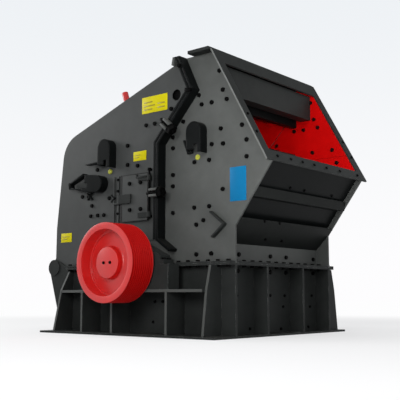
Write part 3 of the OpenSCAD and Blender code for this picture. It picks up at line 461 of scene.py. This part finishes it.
# bolts of the walls that look to the feed side, and of the bays between the ribs
baseFront = bounds("base_walls")[1].x
baseSide = bounds("base_walls")[1].y
stripSpots = [(stripFront, y, z) for y, z in ((-576, 753), (-68, 754), (207, 754), (715, 753))]
bayHeads = [(baseFront, y, z) for y, z in ((-568, 604), (-49, 602), (222, 602), (731, 609))]
bayFeet = [(baseFront, y, z) for y, z in (
    (-585, 378), (-49, 378), (198, 376), (703, 377), (169, 269), (668, 264), (-387, 70),
    (129, 54), (628, 58))]
sideBays = [(191, 320), (291, 320), (168, 126), (-300, 320), (-300, 126)]
ledges = [  # x and z of each ledge wall, the way it looks, and the bolts across it
    {"at": (1.378, 1.376), "out": (0.81, -0.59), "across": (-0.242, 0.006, 0.518)},
    {"at": (1.220, 1.056), "out": (1, 0), "across": (-0.440, -0.192)},
    {"at": (1.077, 0.910), "out": (0.71, -0.71), "across": (-0.228, 0.048)},
]
copies("frontBolts", plateBolt, aheadOf(stripSpots + bayHeads), bolts, "root")
copies("ribBolts", smallBolt, aheadOf(bayFeet), bolts, "root")
copies("ledgeBolts", smallBolt,
       [standing((row["at"][0], y, row["at"][1]), (row["out"][0], 0, row["out"][1]), y)
        for row in ledges for y in row["across"]], bolts, "root")
copies("bayBolts", smallBolt, bothSides(sideBays, baseSide), bolts, "root")

# bolts in the frame round the mouth
mouthFrame = {"foot": 1.548, "sill": 0.052, "stile": 0.846, "stileRises": (0.298, 0.497),
              "sillBolts": (-0.705, -0.491, -0.295, -0.092, 0.132, 0.385, 0.738)}
frameNormal = Vector(mounts["feed_flange_face"]["axis"])
frameUp = Vector((-frameNormal.z, 0, frameNormal.x))
frameFoot = Vector((bounds("feed_frame")[1].x, 0, mouthFrame["foot"]))
frameSpots = [frameFoot + frameUp * mouthFrame["sill"] + Vector((0, y, 0))
              for y in mouthFrame["sillBolts"]]
frameSpots += [frameFoot + frameUp * rise + Vector((0, side * mouthFrame["stile"], 0))
               for side in (-1, 1) for rise in mouthFrame["stileRises"]]
copies("frameBolts", smallBolt,
       [standing(at, frameNormal, headTurn["frame"] * i) for i, at in enumerate(frameSpots)],
       bolts, "root")
print("casing bolts set:", len(liningBolts + plateBolts + housingBolts), "on each side wall")


# clamps over the seam between the housings
clamp = {"shank": 0.016, "length": 0.220, "back": 0.100, "out": 0.945,
         "low": -0.052, "high": 0.058, "arm": 0.012, "apart": 0.029, "halfWide": 0.036,
         "places": (((0.300, 1.352), (1, 0)), ((0.452, 1.990), (0.740, -0.672))),
         "nut": {"across": 0.094, "head": 0.040, "washer": 0.054, "seat": 0.010}, "nutTurn": 0.3,
         "tail": {"across": 0.036, "head": 0.018, "washer": 0.022, "seat": 0.004},
         "steps": 20, "soften": 0.002, "forkSoften": 0.005}
shank = turnedPattern("clampShank", [(0, 0), (clamp["shank"], 0),
                                     (clamp["shank"], clamp["length"]), (0, clamp["length"])],
                      clamp["steps"], clamp["soften"])
shanks, nuts, tails, forks = [], [], [], bmesh.new()
for side in (-1, 1):
    for (x, z), (dx, dz) in clamp["places"]:
        along = Vector((dx, 0, dz))
        centre = Vector((x, side * clamp["out"], z))
        shanks.append(standing(centre - along * clamp["back"], along))
        nuts.append(standing(centre + along * clamp["high"], along, clamp["nutTurn"]))
        tails.append(standing(centre + along * clamp["low"], -along))
        across = along.cross(Vector((0, 1, 0)))
        forkAxes = Matrix((along, Vector((0, 1, 0)), across)).transposed().to_4x4()
        for level in (-clamp["apart"], clamp["apart"]):
            bar(forks, (clamp["low"], -clamp["halfWide"], level - clamp["arm"]),
                (clamp["high"], clamp["halfWide"], level + clamp["arm"]), clamp["forkSoften"],
                Matrix.Translation(centre) @ forkAxes)
copies("clampShanks", shank, shanks, bolts, "root")
copies("clampNuts", hexBolt("clampNut", clamp["nut"]), nuts, bolts, "root")
copies("clampTails", hexBolt("tailNut", clamp["tail"]), tails, bolts, "root")
keep("clampForks", forks, greyPlate, "root")


# blocks and tabs of the hinged housing, and black cups in its holes as painted shade
def seamBlocks(name, block, look):  # one block on each side, which leans with the seam
    shape = bmesh.new()
    x, y, z = block["at"]
    lean = Matrix.Rotation(math.radians(block["lean"]), 4, "Y")
    for side in (-1, 1):
        bar(shape, block["low"], block["high"], block["soften"],
            Matrix.Translation((x, side * y, z)) @ lean)
    keep(name, shape, look, "rear_housing")


knot = {"low": (-0.036, -0.012, -0.020), "high": (0.040, 0.012, 0.020),
        "at": (0.705, 0.930, 2.290), "lean": 8, "soften": 0.004, "bolt": (0.588, 0.920, 2.549)}
tab = {"low": (-0.004, -0.055, -0.070), "high": (0.022, 0.055, 0.010),
       "at": (0.502, 0.866, 2.640), "lean": 12, "soften": 0.004}
seamBlocks("seamKnots", knot, bolts)  # over the corner of the seam
copies("seamBolts", plateBolt,
       [standing((knot["bolt"][0], side * knot["bolt"][1], knot["bolt"][2]), (0, side, 0))
        for side in (-1, 1)], bolts, "rear_housing")
seamBlocks("flangeHorns", tab, greyPlate)  # folded tabs at the head of the hinged flange

# a black cup in each lifting hole is painted shade; a red disc closes it on the lining side
hole = {"outer": 0.0540, "inner": 0.0510, "deep": 0.028, "floor": 0.005, "disc": 0.0535,
        "back": 0.006, "steps": 32, "soften": 0.001}
shadeCupMesh = turnedPattern("holeShadeCup", [(0, 0), (hole["outer"], 0), (hole["outer"], hole["deep"]),
                                      (hole["inner"], hole["deep"]),
                                      (hole["inner"], hole["floor"]), (0, hole["floor"])],
                        hole["steps"], hole["soften"])
holeDisc = turnedPattern("holeDisc", [(0, 0), (hole["disc"], 0), (hole["disc"], hole["floor"]),
                                      (0, hole["floor"])], hole["steps"], hole["soften"])
holeAt = Vector(mounts["lifting_hole_near"]["pos_m"])
for name, mesh, depth, look in (("holeShadeCups", shadeCupMesh, linerWall + hole["back"], bolts),
                                ("holeLinings", holeDisc, linerWall, redLining)):
    copies(name, mesh, [standing((holeAt.x, side * depth, holeAt.z), (0, side, 0))
                        for side in (-1, 1)], look, "rear_housing")
print("seam clamps set:", len(shanks))


# drive pulley
pulley = {"rim": 0.062, "recess": 0.130, "dish": 0.020, "hub": 0.146, "hubSet": 0.042,
          "web": 0.045, "ledge": 0.013, "ledgeFlare": 1.1, "bead": 0.012,
          "grooves": 10, "groove": 0.014, "vee": ((0, 0.15), (1, 0.35), (1, 0.65), (0, 0.85)),
          "edge": 0.011, "lip": 0.006, "ring": 0.020, "ringLap": 0.001, "capBolt": 0.043,
          "steps": 96, "soften": 0.0025, "veeSoften": 0.0015}
pulleyLow, pulleyHigh = bounds("drive_pulley")
shaftAt = Vector(joints["rotor_spin"]["pos_m"])
outer = pulleyHigh.z - shaftAt.z
width = pulleyHigh.y - pulleyLow.y
inner = outer - pulley["rim"]
face = pulley["recess"] - pulley["dish"]
shelf = pulley["recess"] - pulley["ledge"]
seatRadius = outer - pulley["ring"]
farLip = width - pulley["lip"]
step = (width - 2 * pulley["edge"]) / pulley["grooves"]
wheelOutline = [(0, pulley["hubSet"]), (pulley["hub"], pulley["hubSet"]),
                (pulley["hub"], face - pulley["bead"]), (pulley["hub"] + pulley["bead"], face),
                (inner - pulley["ledge"] * pulley["ledgeFlare"], pulley["recess"]),
                (inner - pulley["ledge"], shelf), (inner, shelf),
                (inner, 0), (outer, 0), (outer, pulley["lip"]), (seatRadius, pulley["lip"]),
                (seatRadius, farLip), (outer, farLip), (outer, width), (inner, width),
                (inner, pulley["recess"] + pulley["web"]), (pulley["hub"], face + pulley["web"]),
                (pulley["hub"], width), (0, width)]
ringOutline = [(seatRadius - pulley["ringLap"], pulley["lip"]), (outer, pulley["lip"])]
for i in range(pulley["grooves"]):  # each groove goes in from the belt face and out again
    ringOutline += [(outer - pulley["groove"] * depth, pulley["edge"] + step * (i + share))
                    for depth, share in pulley["vee"]]
ringOutline += [(outer, farLip), (seatRadius - pulley["ringLap"], farLip)]
sheave = turnedPattern("sheave", wheelOutline, pulley["steps"], pulley["soften"])
grooves = turnedPattern("grooves", ringOutline, pulley["steps"], pulley["veeSoften"])
onShaft = standing((shaftAt.x, pulleyLow.y, shaftAt.z), (0, 1, 0))
hubFace = pulleyLow.y + pulley["hubSet"]
wheel = copies("sheaveWheel", sheave, [onShaft], {"finish": "pulleyRed", "slot": "pulley_red"},
               "rotor")
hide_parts("drive_pulley")
# the grooves carry the darker red as painted shade
copies("sheaveGrooves", grooves, [onShaft], {"finish": "shadedBeltRed", "slot": "pulley_red"}, "rotor")
copies("hubBolts", smallBolt,
       [standing((shaftAt.x + side * pulley["capBolt"], hubFace, shaftAt.z), (0, -1, 0), side)
        for side in (-1, 1)], bolts, "rotor")
print("drive pulley built:", pulley["grooves"], "grooves")


# bearings
bearing = {"outer": 0.150, "inner": 0.096, "thick": 0.015, "rim": 0.6, "lipOut": 0.028,
           "lipIn": 0.032, "circle": 0.130, "count": 8, "long": 0.140, "clear": 0.09,
           "capHalf": 0.122, "capInset": 0.036, "footInset": 0.021, "footRise": 0.226,
           "steps": 48}
bearingLow, bearingHigh = bounds("bearing_housings")
bearingNear = bearingHigh.y - bearing["long"]
rimThick = bearing["thick"] * bearing["rim"]
endCover = turnedPattern("endCover", [(bearing["inner"], 0), (bearing["outer"], 0),
                                      (bearing["outer"], rimThick),
                                      (bearing["outer"] - bearing["lipOut"], rimThick),
                                      (bearing["outer"] - bearing["lipIn"], bearing["thick"]),
                                      (bearing["inner"], bearing["thick"])],
                         bearing["steps"])
capRows = [(bearingHigh.z, (shaftAt.x - bearing["capHalf"], shaftAt.x + bearing["capHalf"])),
           (bearingLow.z + bearing["footRise"], (bearingLow.x + bearing["footInset"],
                                                 bearingHigh.x - bearing["footInset"]))]
endCovers, coverBolts, capBolts = [], [], []
for side in (-1, 1):
    for y, out in ((bearingHigh.y, 1), (bearingNear, -1)):
        at = Vector((shaftAt.x, side * y, shaftAt.z))
        endCovers.append(standing(at, (0, side * out, 0)))
        for i in range(bearing["count"]):
            angle = (i + 0.5) * 2 * math.pi / bearing["count"]
            spot = at + Vector((math.cos(angle), 0, math.sin(angle))) * bearing["circle"]
            spot += Vector((0, side * out * rimThick, 0))
            if out > 0 or abs(spot.z - shaftAt.z) < bearing["clear"]:
                coverBolts.append(standing(spot, (0, side * out, 0), angle))
    for height, ends in capRows:
        for x in ends:
            for y in (bearingNear + bearing["capInset"], bearingHigh.y - bearing["capInset"]):
                capBolts.append(standing((x, side * y, height), (0, 0, 1), x))
copies("endCovers", endCover, endCovers, darkPlate, "root")
copies("endCoverBolts", smallBolt, coverBolts, bolts, "root")
copies("capBolts", flangeBolt, capBolts, bolts, "root")
print("bearings dressed:", len(coverBolts + capBolts), "bolts")


# inspection door
door = {"bolts": ((-143, 1490), (8, 1491), (-138, 1224), (12, 1225)),
        "railBolts": (1.547, 1.429, 1.200), "railInset": 0.010}
doorLow, doorHigh = bounds("door_panel")
railLow, railHigh = bounds("door_rails")
copies("doorBolts", plateBolt,
       [standing((x / 1000, doorLow.y, z / 1000), (0, -1, 0), headTurn["door"] * i)
        for i, (x, z) in enumerate(door["bolts"])], bolts, "inspection_door")
copies("railBolts", smallBolt,
       [standing((railHigh.x - door["railInset"], railLow.y, z), (0, -1, 0), z)
        for z in door["railBolts"]], bolts, "rear_housing")

seal = {"wide": 0.007, "latchSide": 0.016, "proud": 0.003, "sunk": 0.002, "soften": 0.001}
rubber = bmesh.new()
for (x0, z0), (x1, z1) in (((doorLow.x, doorLow.z), (doorLow.x + seal["latchSide"], doorHigh.z)),
                           ((doorHigh.x - seal["wide"], doorLow.z), (doorHigh.x, doorHigh.z)),
                           ((doorLow.x, doorLow.z), (doorHigh.x, doorLow.z + seal["wide"])),
                           ((doorLow.x, doorHigh.z - seal["wide"]), (doorHigh.x, doorHigh.z))):
    bar(rubber, (x0, doorLow.y - seal["proud"], z0), (x1, doorLow.y + seal["sunk"], z1),
        seal["soften"])
keep("doorSeal", rubber, {"finish": "curtainRubber", "slot": "curtain_rubber"}, "inspection_door")

grip = {"left": 0.150, "right": 0.010, "stem": 0.136, "low": 0.050, "high": 0.034, "top": 0.010,
        "proud": 0.020, "soften": 0.004}
lever = {"left": 0.075, "right": 0.030, "near": 0.020, "far": 0.006, "down": 0.004, "up": 0.014,
         "soften": 0.004}
latchLow, latchHigh = bounds("door_latch")
handles = bmesh.new()
gripCorner = (doorHigh.x - grip["left"], doorLow.y - grip["proud"], doorHigh.z - grip["low"])
bar(handles, gripCorner, (doorHigh.x - grip["right"], doorLow.y, doorHigh.z - grip["high"]),
    grip["soften"])
bar(handles, gripCorner, (doorHigh.x - grip["stem"], doorLow.y, doorHigh.z - grip["top"]),
    grip["soften"])
bar(handles, (latchLow.x - lever["left"], latchLow.y + lever["far"], latchLow.z - lever["down"]),
    (latchHigh.x - lever["right"], latchLow.y + lever["near"], latchLow.z + lever["up"]),
    lever["soften"])
keep("doorHandles", handles, darkPlate, "inspection_door")

hinge = {"pin": 0.010, "eye": 0.018, "halfEye": 0.014, "low": 1.135, "high": 1.622,
         "eyes": (1.145, 1.609), "inset": 0.019, "foot": 0.012, "pinSteps": 16, "pinSoften": 0.002,
         "eyeSteps": 20, "eyeSoften": 0.003, "footSoften": 0.002}
rodLow, rodHigh = bounds("door_hinge_rod")
rodX, rodY = rodHigh.x - hinge["inset"], rodLow.y + hinge["inset"]
rodLength = hinge["high"] - hinge["low"]
pin = turnedPattern("pinRod", [(0, 0), (hinge["pin"], 0), (hinge["pin"], rodLength),
                               (0, rodLength)], hinge["pinSteps"], hinge["pinSoften"])
eye = turnedPattern("pinEye", [(0, -hinge["halfEye"]), (hinge["eye"], -hinge["halfEye"]),
                               (hinge["eye"], hinge["halfEye"]), (0, hinge["halfEye"])],
                    hinge["eyeSteps"], hinge["eyeSoften"])
pinRod = copies("hingeRod", pin, [standing((rodX, rodY, hinge["low"]), (0, 0, 1))], bolts,
                "rear_housing")
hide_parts("door_hinge_rod")
copies("hingeEyes", eye, [standing((rodX, rodY, z), (0, 0, 1)) for z in hinge["eyes"]], bolts,
       "rear_housing")
feet = bmesh.new()
for z in hinge["eyes"]:
    bar(feet, (rodX - hinge["foot"], rodY, z - hinge["foot"]),
        (rodX + hinge["foot"], -sideWall, z + hinge["foot"]), hinge["footSoften"])
keep("hingeFeet", feet, bolts, "rear_housing")
print("door dressed:", len(door["bolts"]), "bolts,", len(hinge["eyes"]), "hinge eyes")


# stops, levers and hooks, as flat bars on the near wall
wall = -sideWall
frontStop = [  # start, end, thickness, and from where to where it stands out from the wall
    ((0.624, 1.822), (0.682, 1.690), 0.018, (0.058, 0.094)),
    ((0.668, 1.694), (0.726, 1.700), 0.018, (0.058, 0.094)),
]
housingStops = [
    ((-0.747, 1.741), (-0.575, 1.741), 0.013, (0.020, 0.085)),  # foot of the upper hood
    ((-0.640, 1.741), (-0.560, 1.741), 0.022, (0.000, 0.082)),
    ((-1.000, 1.556), (-0.775, 1.640), 0.026, (0.020, 0.086)),  # lever in the lower hood
    ((-0.990, 1.512), (-0.770, 1.470), 0.014, (0.020, 0.086)),
    ((-1.004, 1.566), (-0.986, 1.502), 0.022, (0.016, 0.090)),
    ((-0.785, 1.445), (-0.705, 1.375), 0.014, (0.000, 0.026)),  # crossed hook
    ((-0.775, 1.375), (-0.715, 1.445), 0.014, (0.000, 0.026)),
    ((-0.418, 1.400), (-0.366, 1.362), 0.014, (0.000, 0.026)),  # bent hook
    ((-0.366, 1.362), (-0.416, 1.326), 0.014, (0.000, 0.026)),
]
elbowStrip = [
    ((0.902, 1.137), (1.060, 1.016), 0.018, (0.000, 0.050)),
    ((1.060, 1.018), (0.919, 0.903), 0.018, (0.000, 0.050)),
]
hookBolt = (-0.460, wall, 1.372)
barSoften = 0.003


def flatBars(name, rows, look, body):
    shape = bmesh.new()
    for start, end, thick, (near, far) in rows:
        run = Vector((end[0] - start[0], 0, end[1] - start[1]))
        tilt = Matrix.Rotation(-math.atan2(run.z, run.x), 4, "Y")
        bar(shape, (0, wall - far, -thick / 2), (run.length, wall - near, thick / 2), barSoften,
            Matrix.Translation((start[0], 0, start[1])) @ tilt)
    keep(name, shape, look, body)


flatBars("frontStop", frontStop, blackHood, "root")
flatBars("housingStops", housingStops, blackHood, "rear_housing")
copies("hookBolts", plateBolt, [standing(hookBolt, (0, -1, 0))], bolts, "rear_housing")
flatBars("elbowStrip", elbowStrip, darkPlate, "root")
print("stops built:", len(frontStop + housingStops + elbowStrip), "bars")


# blank plates, each bar on them placed in shares of the plate's width and height
yellowPlate = {"finish": "labelYellow", "slot": "label_yellow"}
markBars = {"finish": "labelMark", "slot": "label_yellow"}
plates = {
    "longPlate": {"low": (-0.005, 2.183), "high": (0.338, 2.350), "look": yellowPlate,
                  "body": "rear_housing",
                  "bars": [(0.08, 0.62, 0.42, 0.70), (0.08, 0.40, 0.52, 0.48),
                           (0.62, 0.20, 0.90, 0.28), (0.62, 0.44, 0.90, 0.52),
                           (0.08, 0.18, 0.42, 0.26)]},
    "shortPlate": {"low": (-0.120, 1.717), "high": (0.058, 1.812), "look": yellowPlate,
                   "body": "rear_housing",
                   "bars": [(0.12, 0.55, 0.55, 0.65), (0.12, 0.28, 0.48, 0.38)]},
    "lowPlate": {"low": (-1.206, 0.947), "high": (-1.036, 1.044), "look": yellowPlate,
                 "body": "rear_housing",
                 "bars": [(0.12, 0.55, 0.80, 0.65), (0.12, 0.28, 0.60, 0.38)]},
    "bluePlate": {"low": (1.104, 1.215), "high": (1.287, 1.525),
                  "look": {"finish": "labelBlue", "slot": "label_blue"}, "body": "root",
                  "bars": []},
}
plateStock = {"thick": 0.003, "soften": 0.001, "barProud": 0.0045, "barFoot": 0.002,
              "barSoften": 0.0005}
for name, plate in plates.items():
    (x0, z0), (x1, z1) = plate["low"], plate["high"]
    sheet = bmesh.new()
    bar(sheet, (x0, wall - plateStock["thick"], z0), (x1, wall, z1), plateStock["soften"])
    keep(name, sheet, plate["look"], plate["body"])
    if plate["bars"]:
        raised = bmesh.new()
        for u0, v0, u1, v1 in plate["bars"]:
            bar(raised,
                (x0 + (x1 - x0) * u0, wall - plateStock["barProud"], z0 + (z1 - z0) * v0),
                (x0 + (x1 - x0) * u1, wall - plateStock["barFoot"], z0 + (z1 - z0) * v1),
                plateStock["barSoften"])
        keep(name + "Bars", raised, markBars, plate["body"])

grease = {"outline": [(0, 0), (0.026, 0), (0.026, 0.010), (0.019, 0.018), (0, 0.020)],
          "look": {"finish": "capYellow", "slot": "label_yellow"},
          "housing": (-0.452, 1.648), "front": (0.728, 1.663), "steps": 24}
cap = turnedPattern("greaseCap", grease["outline"], grease["steps"])
for name, (x, z), body in (("housingCap", grease["housing"], "rear_housing"),
                           ("frontCap", grease["front"], "root")):
    copies(name, cap, [standing((x, side * sideWall, z), (0, side, 0)) for side in (-1, 1)],
           grease["look"], body)
print("plates set:", len(plates))


# lining under the roof of the mouth
roof = {"gap": 0.005, "short": 0.004, "under": 0.006, "top": 0.001, "soften": 0.001}
curtainHigh = bounds("curtain_beam")[1]
lining = bmesh.new()
bar(lining, (curtainHigh.x + roof["gap"], -linerWall, curtainHigh.z - roof["under"]),
    (bounds("feed_frame")[0].x - roof["short"], linerWall, curtainHigh.z - roof["top"]),
    roof["soften"])
keep("roofLining", lining, redLining, "root")
print("mouth lined")


# camera
view = {"place": (5.335, -6.303, 0.369), "turn": 39.84, "pitch": 7.08, "lens": 69.85,
        "sensor": 36.0, "near": 0.1, "far": 200.0}
eyepiece = bpy.data.cameras.new("viewCamera")
eyepiece.lens, eyepiece.sensor_width = view["lens"], view["sensor"]
eyepiece.clip_start, eyepiece.clip_end = view["near"], view["far"]
camera = bpy.data.objects.new("viewCamera", eyepiece)
camera.location = view["place"]
camera.rotation_euler = (math.radians(90 + view["pitch"]), 0.0, math.radians(view["turn"]))
bpy.context.scene.collection.objects.link(camera)
bpy.context.scene.camera = camera
print("camera placed")


# studio
lamps = {
    "sideSoftbox": {"kind": "AREA", "place": (-7.2, -3.2, 4.2), "aim": (0.0, -0.8, 1.3),
                    "size": 2.6, "power": 205},
    "mouthSpot": {"kind": "SPOT", "place": (4.9, -5.5, 0.75), "aim": (0.95, 0.3, 2.05),
                  "size": 0.5, "power": 740, "cone": 22.0, "blend": 0.7},
    "frontSoftbox": {"kind": "AREA", "place": (3.0, -8.0, 3.4), "aim": (0.4, -0.6, 1.1),
                     "size": 3.0, "power": 285},
    "footSoftbox": {"kind": "AREA", "place": (8.0, -4.5, 1.6), "aim": (0.8, 0.0, 0.8),
                    "size": 2.6, "power": 130},
    "topSoftbox": {"kind": "AREA", "place": (0.0, 0.0, 8.0), "aim": (0.0, 0.0, 0.0),
                   "size": 7.0, "power": 190},
}
for name, lamp in lamps.items():
    light = bpy.data.lights.new(name, lamp["kind"])
    if lamp["kind"] == "AREA":
        light.size = lamp["size"]
    else:
        light.shadow_soft_size = lamp["size"] / 2
        light.spot_size, light.spot_blend = math.radians(lamp["cone"]), lamp["blend"]
    light.energy = lamp["power"]
    holder = bpy.data.objects.new(name, light)
    holder.location = lamp["place"]
    aim = Vector(lamp["aim"]) - Vector(lamp["place"])
    holder.rotation_euler = aim.to_track_quat("-Z", "Y").to_euler()
    bpy.context.scene.collection.objects.link(holder)


def seenDirectly(graph):  # 1 where the camera or a reflection sees the surface
    paths = [graph.node("ShaderNodeLightPath", {}, {}, "Is %s Ray" % kind)
             for kind in ("Camera", "Glossy", "Transmission")]
    return paths[0].maths("MAXIMUM", paths[0].maths("MAXIMUM", paths[0], paths[1]), paths[2])


studio = {"sky": (0.85, 0.88, 0.91, 1.0), "low": (0.985, 0.98, 0.99, 1.0),
          "ceiling": (0.20, 0.205, 0.21, 1.0), "skyTop": 0.42, "ceilingFrom": 0.52,
          "fill": 0.30, "fillTone": (0.93, 0.95, 1.0, 1.0),
          "floor": (0.55, 0.55, 0.56, 1.0), "floorSeen": (0.98, 0.98, 0.98, 1.0),
          "glow": (0.985, 0.985, 0.99, 1.0), "lift": 0.60, "fadeFrom": 3.2, "fadeTo": 8.5,
          "floorSize": 40.0}
world = bpy.data.worlds.new("studio")
bpy.context.scene.world = world
sky = Graph(world, "Generated")
climb = sky.along("Z")
backdrop = sky.mix(climb.ramp(0.0, studio["skyTop"]), studio["low"], studio["sky"])
backdrop = sky.mix(climb.ramp(studio["skyTop"], studio["ceilingFrom"]), backdrop,
                   studio["ceiling"])
soft = sky.node("ShaderNodeBackground", {},
                {"Color": studio["fillTone"], "Strength": studio["fill"]})
pale = sky.node("ShaderNodeBackground", {}, {"Color": backdrop, "Strength": 1.0})
both = sky.node("ShaderNodeMixShader", {}, {0: seenDirectly(sky), 1: soft, 2: pale})
sky.node("ShaderNodeOutputWorld", {}, {"Surface": both}, None)

ground = bmesh.new()
bmesh.ops.create_grid(ground, x_segments=1, y_segments=1, size=studio["floorSize"])
floorMesh = bpy.data.meshes.new("floor")
ground.to_mesh(floorMesh)
ground.free()
floor = bpy.data.objects.new("floor", floorMesh)
bpy.context.scene.collection.objects.link(floor)
tiles = Graph(bpy.data.materials.new("paleFloor"))
direct = seenDirectly(tiles)
lit = tiles.node("ShaderNodeBsdfDiffuse", {},
                 {"Color": tiles.mix(direct, studio["floor"], studio["floorSeen"])})
glow = tiles.node("ShaderNodeEmission", {}, {"Color": studio["glow"], "Strength": 1.0})
spread = tiles.node("ShaderNodeVectorMath", {"operation": "LENGTH"}, {0: tiles.place}, "Value")
faded = spread.ramp(studio["fadeFrom"], studio["fadeTo"], studio["lift"], 1.0)
# far off the floor runs into the backdrop
blended = tiles.node("ShaderNodeMixShader", {}, {0: direct * faded, 1: lit, 2: glow})
tiles.node("ShaderNodeOutputMaterial", {}, {"Surface": blended}, None)
floorMesh.materials.append(tiles.owner)
print("studio ready:", len(lamps), "lamps")

bpy.context.scene.view_settings.view_transform = "Standard"
